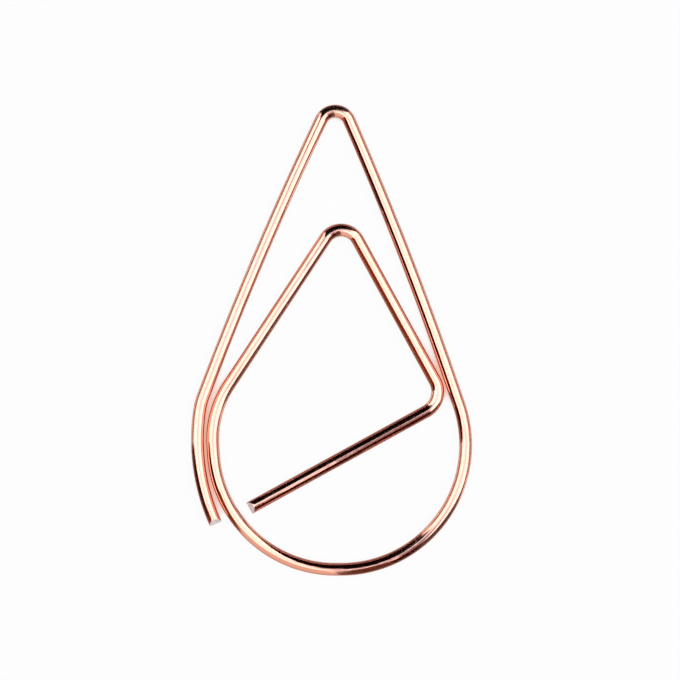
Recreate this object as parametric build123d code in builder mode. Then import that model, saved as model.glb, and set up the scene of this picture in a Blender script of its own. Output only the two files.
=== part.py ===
"""Teardrop paper clip: one round wire bent flat round a jig of pins, in four limbs that twist in use.

The wire spirals inwards, always turning clockwise: tail arc, outer left leg, outer tip, outer right leg,
bowl, inner left leg, inner tip, inner right leg, corner, cross arm. It is divided only where a limb turns
against the next one, square across the wire, so that the wire's own centre line is the axis of the turn.
"""
import os
from math import asin, atan2, cos, degrees, hypot, radians, sin, sqrt

from build123d import *

# Driving dimensions, in millimetres; every radius is that of the wire's centre line
wire_diameter = 0.68
clip_length = 25.0
outer_tip_radius = 0.82
outer_tip_shift = -0.18
outer_tip_run = 0.3
outer_leg_radius = 188.0
inner_tip_radius = 1.0
inner_tip_shift = 0.14
tip_spacing = 6.49
bowl_right_radius = 6.6
bowl_left_radius = 6.5
bottom_run = 0.3
elbow_run = 0.47
elbow_radius = 5.26
tail_arc_radius = 10.7
tail_elbow_radius = 3.57
tail_elbow_rise = 1.88
corner_height = 9.42
corner_bend_radius = 1.19
cut_bevel = 0.26
cut_ridge = 0.12

# Clearances between neighbouring runs of the wire
tail_gap = 0.13
corner_gap = 0.1
arm_end_gap = 0.54

# Turns of the wire, in degrees
bowl_left_turn = 86.5
tail_lean = 8.5
tail_arc_turn = 33.15
corner_turn = 90.0


def along(heading):
    """Unit step along a heading, in degrees anticlockwise from +X."""
    return Vector(cos(radians(heading)), sin(radians(heading)))


def touch(pin, radius, heading):
    """Point where wire on this heading touches the circle round a pin on its right."""
    return pin + along(heading + 90) * radius


def leg_heading(pin, radius, next_pin, next_radius):
    """Heading of a straight leg from one pin to the next, with both on its right."""
    span = next_pin - pin
    return degrees(atan2(span.Y, span.X) - asin((radius - next_radius) / span.length))


def bow_pin(pin, reach, next_pin, next_reach):
    """Centre of a wide bow on the wire's right, at its reach from the pin before it and the pin after it."""
    span = next_pin - pin
    span_heading = degrees(atan2(span.Y, span.X))
    ahead = (span.length**2 + reach**2 - next_reach**2) / (2 * span.length)
    return pin + along(span_heading) * ahead - along(span_heading + 90) * sqrt(reach**2 - ahead**2)


def bow_heading(bow, pin):
    """Heading of a wide bow where it is square to the line from its centre through a pin."""
    spoke = pin - bow
    return degrees(atan2(spoke.Y, spoke.X)) - 90


def pinch_planes(end, heading):
    """The two slants that a cutter leaves on a wire end, from above and from below, with a blunt ridge between."""
    ridge_rise = Vector(0, 0, cut_ridge / 2)
    slant_out = along(heading) * (wire_diameter - cut_ridge) / 2
    slant_up = Vector(0, 0, cut_bevel)
    return Plane(end + ridge_rise, z_dir=slant_out + slant_up), Plane(end - ridge_rise, z_dir=slant_out - slant_up)


def bend(pin, radius, heading_in, heading_out):
    """Wire wrapped clockwise round a pin, from one heading to the next."""
    return CenterArc(pin, radius, heading_in + 90, heading_out - heading_in)


# The clip lies flat, its outline centred on the origin and the wire's underside at height 0
reach_right = bottom_run / 2 + bowl_right_radius + wire_diameter / 2
bottom_heading = 180.0
elbow_heading = bottom_heading - bowl_left_turn
elbow_offset = along(elbow_heading + 90) * (bowl_left_radius - elbow_radius) + along(elbow_heading) * elbow_run
side_reach = bottom_run / 2 + max(bowl_left_radius, elbow_radius - elbow_offset.X)
tail_reach = side_reach + wire_diameter + tail_gap
reach_left = tail_reach + wire_diameter / 2
bottom = Vector((reach_left - reach_right) / 2, (wire_diameter - clip_length) / 2, wire_diameter / 2)

# The jig's main pins, set out from the middle of the bottom run, where the wire heads along -X
bowl_right_pin = bottom + Vector(bottom_run / 2, bowl_right_radius)
bowl_left_pin = bottom + Vector(-bottom_run / 2, bowl_left_radius)
outer_tip_pin = bottom + Vector(outer_tip_shift, clip_length - wire_diameter - outer_tip_radius)
inner_tip_pin = outer_tip_pin + Vector(inner_tip_shift - outer_tip_shift, -tip_spacing)

# The elbow that turns the bowl into the inner left leg
elbow_pin = bowl_left_pin + elbow_offset
elbow_start = touch(elbow_pin, elbow_radius, elbow_heading)

# The tail, an arc that passes the clip's left side with a gap and leans over into the tail elbow
tail_heading = 90 - tail_lean
tail_left = bottom.X - tail_reach
tail_elbow_height = elbow_start.Y + tail_elbow_rise
tail_arc_height = tail_elbow_height - tail_arc_radius * sin(radians(tail_lean))
tail_arc_pin = Vector(tail_left + tail_arc_radius, tail_arc_height, bottom.Z)
tail_elbow_pin = touch(tail_arc_pin, tail_arc_radius - tail_elbow_radius, tail_heading)
tail_end_heading = tail_heading + tail_arc_turn
tail_end = touch(tail_arc_pin, tail_arc_radius, tail_end_heading)

# The outer legs, each a wide bow, the left one with a short straight run before the tip
tip_reach = outer_leg_radius - outer_tip_radius
left_bow_pin = bow_pin(
    tail_elbow_pin,
    outer_leg_radius - tail_elbow_radius,
    outer_tip_pin,
    hypot(tip_reach, outer_tip_run),
)
left_leg_start_heading = bow_heading(left_bow_pin, tail_elbow_pin)
left_leg_end_heading = bow_heading(left_bow_pin, outer_tip_pin) + degrees(atan2(outer_tip_run, tip_reach))
right_bow_pin = bow_pin(outer_tip_pin, tip_reach, bowl_right_pin, outer_leg_radius - bowl_right_radius)
right_leg_start_heading = bow_heading(right_bow_pin, outer_tip_pin)
right_leg_end_heading = bow_heading(right_bow_pin, bowl_right_pin)

# The corner bend, nested against the outer right leg at its own height
corner_reach = outer_leg_radius - wire_diameter - corner_gap - corner_bend_radius
corner_drop = bottom.Y + corner_height - right_bow_pin.Y
corner_pin = right_bow_pin + Vector(sqrt(corner_reach**2 - corner_drop**2), corner_drop)

# The inner legs and the cross arm, which stops short of the bowl's left side
inner_left_heading = leg_heading(elbow_pin, elbow_radius, inner_tip_pin, inner_tip_radius)
inner_right_heading = leg_heading(inner_tip_pin, inner_tip_radius, corner_pin, corner_bend_radius)
arm_heading = inner_right_heading - corner_turn
arm_start = touch(corner_pin, corner_bend_radius, arm_heading)
arm_reach_radius = bowl_left_radius - wire_diameter / 2 - arm_end_gap
arm_from_pin = arm_start - bowl_left_pin
arm_closing = arm_from_pin.dot(along(arm_heading))
arm_length = sqrt(arm_closing**2 - arm_from_pin.length**2 + arm_reach_radius**2) - arm_closing
arm_end = arm_start + along(arm_heading) * arm_length

# Outer loop: outer tip bend, outer right leg and right half of the bowl
with BuildPart() as outer_loop:
    with BuildLine() as outer_loop_path:
        bend(outer_tip_pin, outer_tip_radius, left_leg_end_heading, right_leg_start_heading)
        bend(right_bow_pin, outer_leg_radius, right_leg_start_heading, right_leg_end_heading)
        bend(bowl_right_pin, bowl_right_radius, right_leg_end_heading, bottom_heading - 360)
        Line(touch(bowl_right_pin, bowl_right_radius, bottom_heading), bottom)
    with BuildSketch(Plane(outer_loop_path.line @ 0, z_dir=outer_loop_path.line % 0)):
        Circle(wire_diameter / 2)
    sweep()

# Tongue: left half of the bowl, elbow, inner left leg and inner tip bend
with BuildPart() as tongue:
    with BuildLine() as tongue_path:
        Line(bottom, touch(bowl_left_pin, bowl_left_radius, bottom_heading))
        bend(bowl_left_pin, bowl_left_radius, bottom_heading, elbow_heading)
        Line(touch(bowl_left_pin, bowl_left_radius, elbow_heading), elbow_start)
        bend(elbow_pin, elbow_radius, elbow_heading, inner_left_heading)
        Line(
            touch(elbow_pin, elbow_radius, inner_left_heading),
            touch(inner_tip_pin, inner_tip_radius, inner_left_heading),
        )
        bend(inner_tip_pin, inner_tip_radius, inner_left_heading, inner_right_heading)
    with BuildSketch(Plane(tongue_path.line @ 0, z_dir=tongue_path.line % 0)):
        Circle(wire_diameter / 2)
    sweep()

# Foot: inner right leg, corner bend and cross arm with its cut end
with BuildPart() as foot:
    with BuildLine() as foot_path:
        Line(
            touch(inner_tip_pin, inner_tip_radius, inner_right_heading),
            touch(corner_pin, corner_bend_radius, inner_right_heading),
        )
        bend(corner_pin, corner_bend_radius, inner_right_heading, arm_heading)
        Line(arm_start, arm_end)
    with BuildSketch(Plane(foot_path.line @ 0, z_dir=foot_path.line % 0)):
        Circle(wire_diameter / 2)
    sweep()
    for slant in pinch_planes(arm_end, arm_heading):
        split(bisect_by=slant, keep=Keep.BOTTOM)

# Tail: cut end, tail arc, tail elbow and outer left leg
with BuildPart() as tail:
    with BuildLine() as tail_path:
        bend(tail_arc_pin, tail_arc_radius, tail_end_heading, tail_heading)
        bend(tail_elbow_pin, tail_elbow_radius, tail_heading, left_leg_start_heading)
        bend(left_bow_pin, outer_leg_radius, left_leg_start_heading, left_leg_end_heading)
        Line(
            touch(left_bow_pin, outer_leg_radius, left_leg_end_heading),
            touch(outer_tip_pin, outer_tip_radius, left_leg_end_heading),
        )
    with BuildSketch(Plane(tail_path.line @ 0, z_dir=tail_path.line % 0)):
        Circle(wire_diameter / 2)
    sweep()
    for slant in pinch_planes(tail_end, tail_end_heading + 180):
        split(bisect_by=slant, keep=Keep.BOTTOM)

outer_loop.part.label = "outer_loop"
tongue.part.label = "tongue"
foot.part.label = "foot"
tail.part.label = "tail"

os.makedirs("parts", exist_ok=True)
for limb in (outer_loop, tongue, foot, tail):
    export_step(limb.part, f"parts/{limb.part.label}.step")

print("outer left leg heads", round(left_leg_start_heading, 2), "to", round(left_leg_end_heading, 2))
print("outer right leg heads", round(right_leg_start_heading, 2), "to", round(right_leg_end_heading, 2))
print("inner legs head", round(inner_left_heading, 2), round(inner_right_heading, 2))
print("cross arm heads", round(arm_heading, 2), "and is", round(arm_length, 2), "long")
print("overall width", round(reach_left + reach_right, 2))
print("gap beside the tail", round(tail.part.distance_to(tongue.part), 3))
print("gap beside the corner", round(foot.part.distance_to(outer_loop.part), 3))
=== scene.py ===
"""Teardrop paper clip in rose gold wire: four limbs of one bent wire, seen straight from above on white."""
from math import asin, atan2, cos, degrees, hypot, pi, radians, sin, sqrt, tan

import bmesh
import bpy
from mathutils import Matrix, Vector


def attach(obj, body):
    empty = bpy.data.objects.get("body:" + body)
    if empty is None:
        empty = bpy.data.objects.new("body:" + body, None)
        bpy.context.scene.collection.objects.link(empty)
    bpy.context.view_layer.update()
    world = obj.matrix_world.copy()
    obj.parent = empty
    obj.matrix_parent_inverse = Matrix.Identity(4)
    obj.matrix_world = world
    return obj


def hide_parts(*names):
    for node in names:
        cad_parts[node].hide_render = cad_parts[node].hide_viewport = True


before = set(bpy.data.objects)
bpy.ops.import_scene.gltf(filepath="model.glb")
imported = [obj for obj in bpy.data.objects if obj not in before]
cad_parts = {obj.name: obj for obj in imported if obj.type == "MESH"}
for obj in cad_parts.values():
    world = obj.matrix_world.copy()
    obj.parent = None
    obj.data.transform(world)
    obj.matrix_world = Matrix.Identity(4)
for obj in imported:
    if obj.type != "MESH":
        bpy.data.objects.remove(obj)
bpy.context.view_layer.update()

mm = 0.001
up = Vector((0, 0, 1))

# The wire and the jig it is bent round; every radius is that of the wire's centre line
wire_diameter = 0.68 * mm
wire_radius = wire_diameter / 2
clip_length = 25.0 * mm
outer_tip_radius = 0.82 * mm
outer_tip_shift = -0.18 * mm
outer_tip_run = 0.3 * mm
outer_leg_radius = 188.0 * mm
inner_tip_radius = 1.0 * mm
inner_tip_shift = 0.14 * mm
tip_spacing = 6.49 * mm
bowl_right_radius = 6.6 * mm
bowl_left_radius = 6.5 * mm
bottom_run = 0.3 * mm
elbow_run = 0.47 * mm
elbow_radius = 5.26 * mm
tail_arc_radius = 10.7 * mm
tail_elbow_radius = 3.57 * mm
tail_elbow_rise = 1.88 * mm
corner_height = 9.42 * mm
corner_bend_radius = 1.19 * mm

# Clearances between neighbouring runs of the wire, and between the faces of two limbs that turn
tail_gap = 0.13 * mm
corner_gap = 0.1 * mm
arm_end_gap = 0.54 * mm
turn_clearance = 0.001 * mm

# Turns of the wire, in degrees
bowl_left_turn = 86.5
tail_lean = 8.5
tail_arc_turn = 33.15
corner_turn = 90.0

# The cut ends: how far the slants go back, the ridge between them, and the rounding of their edges
cut_bevel = 0.26 * mm
cut_ridge = 0.12 * mm
cut_rounding = 0.03 * mm
rounding_segments = 3

# Which faces get the cut finish: how near the end, and how square across the wire at least
cut_reach = 3 * cut_bevel
least_squareness = 0.4

# How finely the wire is drawn: its sides, the length of a straight step, and a bend's steps in degrees
wire_sides = 64
run_step = 0.4 * mm
leg_step = 0.4
bowl_step = 2.0
elbow_step = 2.5
tip_step = 3.0
least_bend_steps = 4

# How near a point lies on a cut, and how near two points are one, in metres
on_cut = 1e-9
same_point = 1e-8


def along(heading):
    """Unit step along a heading, in degrees anticlockwise from +X."""
    return Vector((cos(radians(heading)), sin(radians(heading)), 0))


def touch(pin, radius, heading):
    """Point where wire on this heading touches the circle round a pin on its right."""
    return pin + along(heading + 90) * radius


def leg_heading(pin, radius, next_pin, next_radius):
    """Heading of a straight leg from one pin to the next, with both on its right."""
    span = next_pin - pin
    return degrees(atan2(span.y, span.x) - asin((radius - next_radius) / span.length))


def bow_pin(pin, reach, next_pin, next_reach):
    """Centre of a wide bow on the wire's right, at its reach from the pins before and after it."""
    span = next_pin - pin
    span_heading = degrees(atan2(span.y, span.x))
    ahead = (span.length**2 + reach**2 - next_reach**2) / (2 * span.length)
    return pin + along(span_heading) * ahead - along(span_heading + 90) * sqrt(reach**2 - ahead**2)


def bow_heading(bow, pin):
    """Heading of a wide bow where it is square to the line from its centre through a pin."""
    spoke = pin - bow
    return degrees(atan2(spoke.y, spoke.x)) - 90


# The clip lies flat, its outline centred on the origin and the wire's underside at height 0
bottom_heading = 180.0
elbow_heading = bottom_heading - bowl_left_turn
elbow_inset = along(elbow_heading + 90) * (bowl_left_radius - elbow_radius)
elbow_offset = elbow_inset + along(elbow_heading) * elbow_run
side_reach = bottom_run / 2 + max(bowl_left_radius, elbow_radius - elbow_offset.x)
tail_reach = side_reach + wire_diameter + tail_gap
reach_right = bottom_run / 2 + bowl_right_radius + wire_radius
reach_left = tail_reach + wire_radius
bottom = Vector(((reach_left - reach_right) / 2, wire_radius - clip_length / 2, wire_radius))

# The main pins, set out from the middle of the bottom run, and the elbow into the inner left leg
bowl_right_pin = bottom + Vector((bottom_run / 2, bowl_right_radius, 0))
bowl_left_pin = bottom + Vector((-bottom_run / 2, bowl_left_radius, 0))
outer_tip_pin = bottom + Vector((outer_tip_shift, clip_length - wire_diameter - outer_tip_radius, 0))
inner_tip_pin = outer_tip_pin + Vector((inner_tip_shift - outer_tip_shift, -tip_spacing, 0))
elbow_pin = bowl_left_pin + elbow_offset
elbow_start = touch(elbow_pin, elbow_radius, elbow_heading)

# The tail, an arc that passes the clip's left side with a gap and leans over into the tail elbow
tail_heading = 90 - tail_lean
tail_elbow_height = elbow_start.y + tail_elbow_rise
tail_arc_height = tail_elbow_height - tail_arc_radius * sin(radians(tail_lean))
tail_arc_pin = Vector((bottom.x - tail_reach + tail_arc_radius, tail_arc_height, wire_radius))
tail_elbow_pin = touch(tail_arc_pin, tail_arc_radius - tail_elbow_radius, tail_heading)
tail_end_heading = tail_heading + tail_arc_turn
tail_end = touch(tail_arc_pin, tail_arc_radius, tail_end_heading)

# The outer legs, each a wide bow, the left one with a short straight run before the tip
tip_reach = outer_leg_radius - outer_tip_radius
left_bow_pin = bow_pin(
    tail_elbow_pin,
    outer_leg_radius - tail_elbow_radius,
    outer_tip_pin,
    hypot(tip_reach, outer_tip_run),
)
left_leg_start_heading = bow_heading(left_bow_pin, tail_elbow_pin)
left_leg_end_heading = bow_heading(left_bow_pin, outer_tip_pin) + degrees(atan2(outer_tip_run, tip_reach))
right_bow_pin = bow_pin(outer_tip_pin, tip_reach, bowl_right_pin, outer_leg_radius - bowl_right_radius)
right_leg_start_heading = bow_heading(right_bow_pin, outer_tip_pin)
right_leg_end_heading = bow_heading(right_bow_pin, bowl_right_pin)

# The corner bend, nested against the outer right leg at its own height
corner_reach = outer_leg_radius - wire_diameter - corner_gap - corner_bend_radius
corner_drop = bottom.y + corner_height - right_bow_pin.y
corner_pin = right_bow_pin + Vector((sqrt(corner_reach**2 - corner_drop**2), corner_drop, 0))

# The inner legs and the cross arm, which stops short of the bowl's left side
inner_left_heading = leg_heading(elbow_pin, elbow_radius, inner_tip_pin, inner_tip_radius)
inner_right_heading = leg_heading(inner_tip_pin, inner_tip_radius, corner_pin, corner_bend_radius)
arm_heading = inner_right_heading - corner_turn
arm_start = touch(corner_pin, corner_bend_radius, arm_heading)
arm_reach_radius = bowl_left_radius - wire_radius - arm_end_gap
arm_from_pin = arm_start - bowl_left_pin
arm_closing = arm_from_pin.dot(along(arm_heading))
arm_length = sqrt(arm_closing**2 - arm_from_pin.length_squared + arm_reach_radius**2) - arm_closing
arm_end = arm_start + along(arm_heading) * arm_length


def points_among(geometry):
    """The points among what an operator has made."""
    return [made for made in geometry if isinstance(made, bmesh.types.BMVert)]


def edges_among(geometry):
    """The edges among what an operator has made."""
    return [made for made in geometry if isinstance(made, bmesh.types.BMEdge)]


def put_in_scene(name, data):
    """Puts a mesh, lamp or camera into the scene as an object at the origin."""
    put = bpy.data.objects.new(name, data)
    bpy.context.scene.collection.objects.link(put)
    return put


def make_object(name, shape, finishes):
    """Makes an object of a finished shape, with its finishes."""
    made = bpy.data.meshes.new(name)
    shape.to_mesh(made)
    shape.free()
    for finish in finishes:
        made.materials.append(finish)
    return put_in_scene(name, made)


class WireLimb:
    """A length of wire drawn out from one cross-section, each point noting its place on the wire."""

    def __init__(self, start, heading, drawn):
        self.mesh = bmesh.new()
        self.place = self.mesh.verts.layers.float_vector.new("wire_place")
        self.strain = self.mesh.verts.layers.float.new("bend_strain")
        self.heading = heading
        self.end = start.copy()
        self.drawn = drawn
        square = Matrix.Rotation(radians(heading), 4, "Z") @ Matrix.Rotation(pi / 2, 4, "Y")
        bmesh.ops.create_circle(
            self.mesh,
            cap_ends=False,
            radius=wire_radius,
            segments=wire_sides,
            matrix=Matrix.Translation(start) @ square,
        )
        self.rim = self.mesh.edges[:]
        self.first_rim = self.rim
        self.note_places(self.mesh.verts)

    def note_places(self, points):
        """Notes how far the points of a square rim lie to the left, up and along the wire."""
        left = along(self.heading + 90)
        for point in points:
            offset = point.co - self.end
            point[self.place] = Vector((offset.dot(left), offset.z, self.drawn))
            point[self.strain] = 0.0

    def run(self, length):
        """Draws the wire straight on, in short steps."""
        steps = max(1, round(length / run_step))
        step = along(self.heading) * length / steps
        for _ in range(steps):
            grown = bmesh.ops.extrude_edge_only(self.mesh, edges=self.rim)["geom"]
            points = points_among(grown)
            bmesh.ops.translate(self.mesh, verts=points, vec=step)
            self.end = self.end + step
            self.drawn += step.length
            self.note_places(points)
            own = set(points)
            self.rim = [edge for edge in edges_among(grown) if own.issuperset(edge.verts)]

    def bend(self, pin, radius, heading_out, step_turn):
        """Wraps the wire clockwise round a pin on its right, and notes how far the bend stretches it."""
        turn = self.heading - heading_out
        before = set(self.mesh.verts)
        rim_points = list(dict.fromkeys(point for edge in self.rim for point in edge.verts))
        spun = bmesh.ops.spin(
            self.mesh,
            geom=rim_points + self.rim,
            cent=pin,
            axis=up,
            angle=-radians(turn),
            steps=max(least_bend_steps, round(turn / step_turn)),
            use_merge=False,
            use_duplicate=False,
        )
        spoke_in = touch(pin, radius, self.heading) - pin
        tightness = wire_radius / radius
        for point in set(self.mesh.verts) - before:
            rise = point.co.z - pin.z
            spoke = point.co - pin
            spoke.z = 0
            turned = spoke_in.angle(spoke)
            point[self.place] = Vector((spoke.length - radius, rise, self.drawn + radius * turned))
            point[self.strain] = tightness * sin(pi * min(1.0, turned / radians(turn)))
        self.rim = edges_among(spun["geom_last"])
        self.heading = heading_out
        self.end = touch(pin, radius, heading_out)
        self.drawn += radius * radians(turn)

    def close(self, rim):
        """Closes the wire square across, with a crisp edge so that the next limb carries on smoothly."""
        bmesh.ops.edgeloop_fill(self.mesh, edges=rim)
        for edge in rim:
            edge.smooth = False

    def pinch(self, rim, end, heading):
        """Closes a wire end as a cutter leaves it: two slants with a blunt ridge, edges softened."""
        ahead = along(heading)
        cut_faces = bmesh.ops.edgeloop_fill(self.mesh, edges=rim)["faces"]
        for side in (up, -up):
            cut = bmesh.ops.bisect_plane(
                self.mesh,
                geom=self.mesh.verts[:] + self.mesh.edges[:] + self.mesh.faces[:],
                dist=on_cut,
                plane_co=end + side * (cut_ridge / 2),
                plane_no=ahead * (wire_radius - cut_ridge / 2) + side * cut_bevel,
                clear_outer=True,
            )["geom_cut"]
            open_edges = [edge for edge in edges_among(cut) if edge.is_boundary]
            cut_faces += bmesh.ops.edgeloop_fill(self.mesh, edges=open_edges)["faces"]
        cut_faces = [face for face in cut_faces if face.is_valid]
        bmesh.ops.bevel(
            self.mesh,
            geom=list(dict.fromkeys(edge for face in cut_faces for edge in face.edges)),
            affect="EDGES",
            offset=cut_rounding,
            offset_type="OFFSET",
            segments=rounding_segments,
            profile=0.5,
            material=-1,
            clamp_overlap=True,
        )
        for face in self.mesh.faces:
            near_end = (face.calc_center_median() - end).length < cut_reach
            if near_end and abs(face.normal.dot(ahead)) > least_squareness:
                face.material_index = 1

    def finish(self, name, finishes):
        """Makes the limb a piece that stands for its node and moves with its body."""
        bmesh.ops.remove_doubles(self.mesh, verts=self.mesh.verts[:], dist=same_point)
        bmesh.ops.recalc_face_normals(self.mesh, faces=self.mesh.faces[:])
        # Faces of many sides are the caps and the cut facets, which stay flat
        for face in self.mesh.faces:
            face.smooth = len(face.verts) <= 4
        piece = make_object(name + "_wire", self.mesh, finishes)
        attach(piece, name)
        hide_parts(name)


# How materials are put together
def give(tree, made, values):
    """Sets values on a node's sockets, or links other nodes' results to them."""
    for socket, value in values.items():
        if isinstance(value, bpy.types.NodeSocket):
            tree.links.new(value, made.inputs[socket])
        else:
            made.inputs[socket].default_value = value


def node(tree, kind, values=None, **settings):
    """A new shader node of a kind, with its settings and what its sockets are given."""
    made = tree.nodes.new("ShaderNode" + kind)
    for setting, value in settings.items():
        setattr(made, setting, value)
    give(tree, made, values or {})
    return made


def spread(tree, value, taken, to=(0, 1)):
    """A value taken from one range to another and kept inside it."""
    ends = {"From Min": taken[0], "From Max": taken[1], "To Min": to[0], "To Max": to[1]}
    return node(tree, "MapRange", {"Value": value, **ends}).outputs["Result"]


def reckon(tree, operation, *values):
    """A sum, product or other reckoning of values, each a number or another node's result."""
    return node(tree, "Math", dict(enumerate(values)), operation=operation).outputs["Value"]


def blend_tones(tree, share, tone, other_tone):
    """A colour between two tones, each a colour or another node's result."""
    tones = {"Factor": share, "A": tone, "B": other_tone}
    return node(tree, "Mix", tones, data_type="RGBA").outputs["Result"]


def per_metre(across, rise, length):
    """How many grains of a size go into a metre across, up and along the wire."""
    return (1 / across, 1 / rise, 1 / length)


def clouds(tree, place, grains, contrast, detail, roughness=0.55):
    """Soft noise over the wire's own measures, by its grains to the metre and the range that it fills."""
    scaled = node(tree, "VectorMath", {0: place, 1: grains}, operation="MULTIPLY").outputs["Vector"]
    kind = {"Vector": scaled, "Scale": 1.0, "Detail": detail, "Roughness": roughness}
    return spread(tree, node(tree, "TexNoise", kind).outputs["Fac"], contrast)


# What all the wire's skin shares: lines left by a tool, slow drift of tone, fine pebbling and scuffs
drift_grains = per_metre(0.9 * mm, 0.9 * mm, 2.2 * mm)
pebble_grains = per_metre(0.03 * mm, 0.03 * mm, 0.03 * mm)
stroke_grains = per_metre(0.02 * mm, 0.5 * mm, 0.12 * mm)
patch_grains = per_metre(0.5 * mm, 0.5 * mm, 0.9 * mm)
wire_skin = bpy.data.node_groups.new("wire_skin", "ShaderNodeTree")
wire_skin.interface.new_socket("Line Grain", in_out="INPUT", socket_type="NodeSocketVector")
for mask in ("Lines", "Drift", "Pebble", "Scuffs"):
    wire_skin.interface.new_socket(mask, in_out="OUTPUT", socket_type="NodeSocketFloat")
asked_grains = wire_skin.nodes.new("NodeGroupInput").outputs["Line Grain"]
place = node(wire_skin, "Attribute", attribute_name="wire_place").outputs["Vector"]
scuff_strokes = clouds(wire_skin, place, stroke_grains, (0.60, 0.68), detail=2.0)
scuff_patches = clouds(wire_skin, place, patch_grains, (0.50, 0.62), detail=1.0)
skin_masks = {
    "Lines": clouds(wire_skin, place, asked_grains, (0.3, 0.7), detail=4.0, roughness=0.65),
    "Drift": clouds(wire_skin, place, drift_grains, (0.25, 0.75), detail=2.0),
    "Pebble": clouds(wire_skin, place, pebble_grains, (0.3, 0.7), detail=2.0),
    "Scuffs": reckon(wire_skin, "MULTIPLY", scuff_strokes, scuff_patches),
}
give(wire_skin, wire_skin.nodes.new("NodeGroupOutput"), skin_masks)


def new_finish(name, line_grains):
    """A finish with the wire's skin in it, ready for its tones, gloss and relief."""
    finish = bpy.data.materials.new(name)
    finish.use_nodes = True
    tree = finish.node_tree
    skin = node(tree, "Group", {"Line Grain": line_grains}, node_tree=wire_skin)
    return finish, tree, tree.nodes["Principled BSDF"], skin.outputs


def relief(tree, *patterns):
    """Relief from patterns that lie on one another, each with its full height in metres."""
    raised = 0.0
    for pattern, height in patterns:
        raised = reckon(tree, "MULTIPLY_ADD", pattern, height, raised)
    return node(tree, "Bump", {"Distance": 1.0, "Height": raised}).outputs["Normal"]


# Rose gold plating on drawn wire: fine lines along it, pebbled and paler where a tight bend stretched it
rose_gold = (0.85, 0.49, 0.39, 1)
deep_rose_gold = (0.79, 0.43, 0.33, 1)
worn_rose_gold = (0.92, 0.66, 0.57, 1)
rim_tint = (0.95, 0.85, 0.8, 1)
drift_share = 0.7
stretch_range = (0.12, 0.42)
stretch_wear = 0.6
scuff_wear = 0.5
wear_dulling = 0.22
line_roughness = (0.06, 0.13)
line_height = 0.00015 * mm
wave_height = 0.008 * mm
pebble_height = 0.0005 * mm
plating, tree, shader, skin = new_finish("rose_gold_plating", per_metre(0.03 * mm, 0.03 * mm, 1.4 * mm))
strain = node(tree, "Attribute", attribute_name="bend_strain").outputs["Fac"]
stretched = reckon(tree, "MULTIPLY", spread(tree, strain, stretch_range), skin["Pebble"])
pebbled = reckon(tree, "MULTIPLY", stretched, stretch_wear)
scuffed = reckon(tree, "MULTIPLY", skin["Scuffs"], scuff_wear)
worn = reckon(tree, "MAXIMUM", pebbled, scuffed)
drifted = spread(tree, skin["Drift"], (0, 1), (0, drift_share))
fresh_tone = blend_tones(tree, drifted, rose_gold, deep_rose_gold)
lined = spread(tree, skin["Lines"], (0, 1), line_roughness)
plating_looks = {
    "Base Color": blend_tones(tree, worn, fresh_tone, worn_rose_gold),
    "Roughness": reckon(tree, "ADD", lined, reckon(tree, "MULTIPLY", worn, wear_dulling)),
    "Normal": relief(
        tree,
        (skin["Lines"], line_height),
        (skin["Drift"], wave_height),
        (stretched, pebble_height),
    ),
    "Metallic": 1.0,
    "Specular Tint": rim_tint,
}
give(tree, shader, plating_looks)

# The cut ends: pale and dull, with the blade's marks down the slants and a darker, rosier band along the
# ridge between them
bared_metal = (1.0, 0.95, 0.90, 1)
darker_cut_tone = (0.72, 0.44, 0.34, 1)
ridge_band_reach = (0.03 * mm, 0.10 * mm)
ridge_band_share = 0.8
mark_range = (0.55, 1)
mark_share = 0.6
cut_roughness = (0.42, 0.58)
mark_height = 0.0015 * mm
grit_height = 0.0008 * mm
cut_face, tree, shader, skin = new_finish("plated_cut_face", per_metre(0.025 * mm, 0.3 * mm, 0.3 * mm))
place = node(tree, "Attribute", attribute_name="wire_place").outputs["Vector"]
height_on_wire = node(tree, "SeparateXYZ", {"Vector": place}).outputs["Y"]
off_ridge = reckon(tree, "ABSOLUTE", height_on_wire)
# Darker and rosier within a tenth of a millimetre of the ridge
ridge_share = spread(tree, off_ridge, ridge_band_reach, (ridge_band_share, 0))
ridge_banded = reckon(tree, "MULTIPLY", ridge_share, skin["Pebble"])
marked = reckon(tree, "MAXIMUM", spread(tree, skin["Lines"], mark_range, (0, mark_share)), ridge_banded)
cut_looks = {
    "Base Color": blend_tones(tree, marked, bared_metal, darker_cut_tone),
    "Roughness": spread(tree, skin["Lines"], (0, 1), cut_roughness),
    "Normal": relief(tree, (skin["Lines"], mark_height), (skin["Pebble"], grit_height)),
    "Metallic": 0.15,
}
give(tree, shader, cut_looks)

# The four limbs, in the order of the wire from the tail's cut end to the cross arm's
tail = WireLimb(tail_end, tail_end_heading, 0.0)
tail.bend(tail_arc_pin, tail_arc_radius, tail_heading, bowl_step)
tail.bend(tail_elbow_pin, tail_elbow_radius, left_leg_start_heading, elbow_step)
tail.bend(left_bow_pin, outer_leg_radius, left_leg_end_heading, leg_step)
tail.run(outer_tip_run)
tail.close(tail.rim)
tail.pinch(tail.first_rim, tail_end, tail_end_heading + 180)

outer_loop = WireLimb(tail.end, tail.heading, tail.drawn)
outer_loop.bend(outer_tip_pin, outer_tip_radius, right_leg_start_heading, tip_step)
outer_loop.bend(right_bow_pin, outer_leg_radius, right_leg_end_heading, leg_step)
outer_loop.bend(bowl_right_pin, bowl_right_radius, bottom_heading - 360, bowl_step)
outer_loop.run(bottom_run / 2)
outer_loop.close(outer_loop.first_rim)
outer_loop.close(outer_loop.rim)

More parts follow.
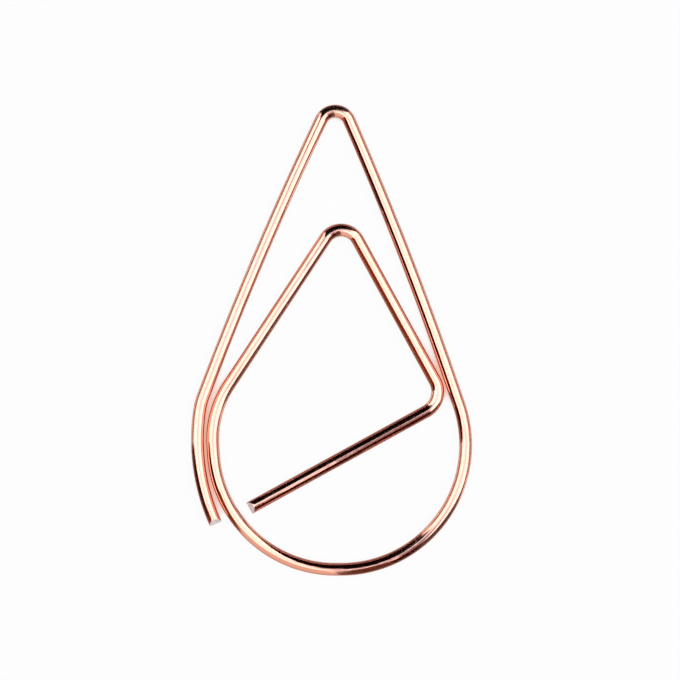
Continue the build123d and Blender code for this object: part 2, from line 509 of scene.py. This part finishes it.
tongue = WireLimb(bottom, bottom_heading, outer_loop.drawn)
tongue.run(bottom_run / 2)
tongue.bend(bowl_left_pin, bowl_left_radius, elbow_heading, bowl_step)
tongue.run(elbow_run)
tongue.bend(elbow_pin, elbow_radius, inner_left_heading, elbow_step)
tongue.run((touch(inner_tip_pin, inner_tip_radius, inner_left_heading) - tongue.end).length)
tongue.bend(inner_tip_pin, inner_tip_radius, inner_right_heading, tip_step)
tongue.close(tongue.first_rim)
tongue.close(tongue.rim)

foot = WireLimb(tongue.end + along(tongue.heading) * turn_clearance, tongue.heading, tongue.drawn)
foot.run((touch(corner_pin, corner_bend_radius, inner_right_heading) - foot.end).length)
foot.bend(corner_pin, corner_bend_radius, arm_heading, tip_step)
foot.run(arm_length)
foot.close(foot.first_rim)
foot.pinch(foot.rim, arm_end, arm_heading)

limbs = {"tail": tail, "outer_loop": outer_loop, "tongue": tongue, "foot": foot}
for name, limb in limbs.items():
    limb.finish(name, (plating, cut_face))

# The stage, in metres: a white floor, and over it softboxes, scrims, flags and boards that the wire mirrors
softbox_height = 0.60
scrim_height = 0.48
flag_height = 0.45
board_height = 0.28
board_distance = 0.7
floor_half = 0.8
watts_per_brightness = 2.09
horizon = 89.6
white = (1, 1, 1, 1)
black = (0.010, 0.001, 0.001, 1)
maroon = (0.10, 0.012, 0.008, 1)
brown = (0.34, 0.14, 0.10, 1)
mauve = (0.55, 0.48, 0.55, 1)
grey_brown = (0.28, 0.22, 0.22, 1)
orange_brown = (0.60, 0.15, 0.04, 1)
cool_white = (0.62, 0.83, 1.0, 1)
sand = (0.80, 0.62, 0.52, 1)
pink = (0.80, 0.60, 0.58, 1)


def toward(azimuth, zenith, height):
    """Point at a height above the clip, in a direction given by azimuth and angle from straight up."""
    return along(azimuth) * height * tan(radians(zenith)) + up * height


def softbox(name, near, far, left, right, brightness, colour):
    """A soft lamp that hangs level over the clip, seen by the wire but not by the camera."""
    lamp = bpy.data.lights.new(name, "AREA")
    lamp.shape = "RECTANGLE"
    lamp.size = right - left
    lamp.size_y = far - near
    lamp.energy = brightness * watts_per_brightness * lamp.size * lamp.size_y
    lamp.color = colour
    hung = put_in_scene(name, lamp)
    hung.location = ((left + right) / 2, (near + far) / 2, softbox_height)
    hung.visible_camera = False


def card(name, colour, corners, glow=0.0):
    """A dull card, or a lit scrim that glows, seen by the wire but not by the camera."""
    finish = bpy.data.materials.new(name)
    finish.use_nodes = True
    card_looks = {
        "Base Color": colour,
        "Roughness": 1.0,
        "Specular IOR Level": 0.0,
        "Emission Color": colour,
        "Emission Strength": glow,
    }
    give(finish.node_tree, finish.node_tree.nodes["Principled BSDF"], card_looks)
    sheet = bmesh.new()
    sheet.faces.new([sheet.verts.new(corner) for corner in corners])
    stood = make_object(name, sheet, [finish])
    stood.visible_camera = False


def flag(name, colour, *directions):
    """A card that hangs level below the softboxes, given by the directions of its corners."""
    card(name, colour, [toward(azimuth, zenith, flag_height) for azimuth, zenith in directions])


def scrim(name, colour, glow, *directions):
    """A lit scrim that hangs level just above the flags, given by the directions of its corners."""
    card(name, colour, [toward(azimuth, zenith, scrim_height) for azimuth, zenith in directions], glow)


def board(name, colour, azimuth, next_azimuth):
    """A low card that stands on the floor beside the clip, between two directions."""
    foot_edge = [along(azimuth) * board_distance, along(next_azimuth) * board_distance]
    top_edge = [corner + up * board_height for corner in reversed(foot_edge)]
    card(name, colour, foot_edge + top_edge)


softbox(
    "right_softbox",
    near=-0.85,
    far=1.0,
    left=-0.02,
    right=1.6,
    brightness=2.1,
    colour=(0.97, 1.0, 1.08),
)
softbox(
    "left_softbox",
    near=-0.32,
    far=1.1,
    left=-1.85,
    right=-0.02,
    brightness=2.0,
    colour=(1.0, 1.0, 1.06),
)
flag(
    "black_flag",
    black,
    (134, horizon),
    (134, 60),
    (140, 40),
    (140, 20),
    (132, 9),
    (110, 2.6),
    (-140, 1.6),
    (-35, 1.4),
    (60, 1.8),
    (88, 5),
    (84, 8),
    (75, 14),
    (64, 30),
    (58, 45),
    (52, 62),
    (46, horizon),
)
flag(
    "brown_flag_right",
    brown,
    (-85, 9),
    (-90, 12),
    (-90, horizon),
    (-68, horizon),
    (-66.5, 38),
    (-72.3, 20),
    (-74.6, 15.6),
)
flag(
    "maroon_flag_right",
    maroon,
    (-53, 42),
    (-60, 40),
    (-66.5, 38),
    (-68, horizon),
    (-54, horizon),
)
flag(
    "grey_flag_right",
    grey_brown,
    (-53, 42),
    (-54, horizon),
    (-16, horizon),
    (-20, 78),
    (-24, 72),
    (-29, 60),
    (-38, 50),
    (-47, 46),
)
flag(
    "maroon_flag_left",
    maroon,
    (184, 60),
    (183, horizon),
    (205, horizon),
    (204, 40),
    (198, 38),
    (190, 45),
)
flag(
    "orange_flag_left",
    orange_brown,
    (204, 40),
    (205, horizon),
    (224, horizon),
    (220, 45),
    (212, 30),
    (205, 28),
)
scrim(
    "mauve_scrim",
    mauve,
    0.12,
    (-35, 1.2),
    (-122, 2.4),
    (-79, 8.5),
    (-67.7, 20),
    (-64.6, 37),
    (-62, 46),
    (-52, 50),
    (-49, 30),
    (-46, 8),
)
scrim(
    "cool_scrim",
    cool_white,
    1.45,
    (178, 22),
    (140, 22),
    (100, 5),
    (20, 4),
    (-6, 22),
    (-28, 22),
    (-36, 3),
    (-150, 3.5),
)
board("sand_board_left", sand, 141, 183)
board("pink_board_right", pink, -18, 46)


def shown_share(tree, camera_share, glossy_share):
    """How much of a surface is plain white to the camera, and to metal that mirrors it."""
    ray = node(tree, "LightPath").outputs
    mirrored = reckon(tree, "MULTIPLY", ray["Is Glossy Ray"], glossy_share)
    seen = reckon(tree, "MAXIMUM", ray["Is Camera Ray"], ray["Is Transmission Ray"])
    return reckon(tree, "ADD", mirrored, reckon(tree, "MULTIPLY", seen, camera_share))


# The floor: white paper that keeps a faint shadow, with painted rosy shade in the crevices between the
# wires, and duller and rosier to the metal
white_paper = (0.95, 0.95, 0.95, 1)
rosy_paper = (0.72, 0.55, 0.49, 1)
painted_crevice_shade = (0.92, 0.42, 0.30, 1)
polish_tone = (0.9, 0.9, 0.9, 1)
polish_roughness = 0.08
polish_range = (0.30, 0.70)
polish_share = 0.96
crevice_depth = 1.0 * mm
crevice_range = (0.26, 0.42)
plain_share = 0.93
close_range = (0.08, 0.30)
close_share = (0.35, 0.02)
floor_sheet = bmesh.new()
bmesh.ops.create_grid(floor_sheet, x_segments=1, y_segments=1, size=floor_half)
floor_finish = bpy.data.materials.new("white_floor")
floor_finish.use_nodes = True
floor = make_object("white_floor", floor_sheet, [floor_finish])
tree = floor_finish.node_tree
tree.nodes.clear()
seen_by_camera = node(tree, "LightPath").outputs["Is Camera Ray"]
facing = node(tree, "LayerWeight").outputs["Facing"]
paper = node(tree, "BsdfDiffuse", {"Color": blend_tones(tree, seen_by_camera, rosy_paper, white_paper)})
polish = node(tree, "BsdfGlossy", {"Color": polish_tone, "Roughness": polish_roughness})
grazing = spread(tree, facing, polish_range, (0, polish_share))
unseen = reckon(tree, "SUBTRACT", 1.0, seen_by_camera)
polished = reckon(tree, "MULTIPLY", grazing, unseen)
lit_layers = {0: polished, 1: paper.outputs["BSDF"], 2: polish.outputs["BSDF"]}
lit_floor = node(tree, "MixShader", lit_layers).outputs["Shader"]
# Painted shade: where the wire hems the floor in, its white glow turns rosy, standing in for shade and
# bounce light from the wire
open_air = node(tree, "AmbientOcclusion", {"Distance": crevice_depth}).outputs["AO"]
floor_tone_with_painted_shade = blend_tones(tree, spread(tree, open_air, crevice_range), painted_crevice_shade, white)
floor_glow_with_painted_shade = node(tree, "Emission", {"Color": floor_tone_with_painted_shade, "Strength": 1.0}).outputs["Emission"]
plainness = shown_share(tree, plain_share, spread(tree, facing, close_range, close_share))
shown_floor = node(tree, "MixShader", {0: plainness, 1: lit_floor, 2: floor_glow_with_painted_shade}).outputs["Shader"]
node(tree, "OutputMaterial", {"Surface": shown_floor})

# The room: white to the camera, rosy to the metal, and dimmer as light on the clip
rosy_room = (1.0, 0.76, 0.67, 1)
room_light = 0.35
world = bpy.data.worlds.new("studio")
bpy.context.scene.world = world
world.use_nodes = True
tree = world.node_tree
seen_by_metal = node(tree, "LightPath").outputs["Is Glossy Ray"]
room_looks = {
    "Color": blend_tones(tree, seen_by_metal, white, rosy_room),
    "Strength": spread(tree, shown_share(tree, 1.0, 1.0), (0, 1), (room_light, 1.0)),
}
give(tree, tree.nodes["Background"], room_looks)

# The camera looks straight down, as the photograph's does
view_aside = 0.449 * mm
view_ahead = 0.008 * mm
view_height = 135.35 * mm
eye = bpy.data.cameras.new("camera_above")
eye.lens = 135
eye.sensor_width = 36
eye.clip_start = 0.001
camera = put_in_scene("camera_above", eye)
camera.location = (view_aside, view_ahead, wire_radius + view_height)
bpy.context.scene.camera = camera
bpy.context.scene.view_settings.view_transform = "Standard"
